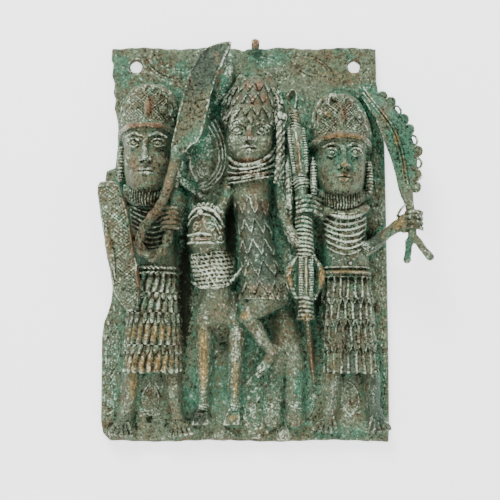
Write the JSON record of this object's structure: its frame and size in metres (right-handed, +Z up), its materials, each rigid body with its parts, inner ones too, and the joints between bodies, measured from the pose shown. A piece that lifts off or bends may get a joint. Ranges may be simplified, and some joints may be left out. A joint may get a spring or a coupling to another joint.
{
  "type": "relief plaque",
  "caption": "Upright cast bronze wall plaque with a crested rider and horse flanked by armed attendants in high relief, pierced near its top corners for nails.",
  "frame": {"origin": "centre of the flat back face, where the plaque rests on its wall", "axes": "+Z up the plaque, +Y into the wall, figures stand out toward -Y, +X to the viewer's right"},
  "size_m": [0.3273, 0.0601, 0.4092],
  "materials": {
    "bronze": "old cast bronze, matt green and grey-brown patina, rubbed to brass on the high places"
  },
  "bodies": {
    "root": {"plaque": "bronze"}
  },
  "joints": []
}
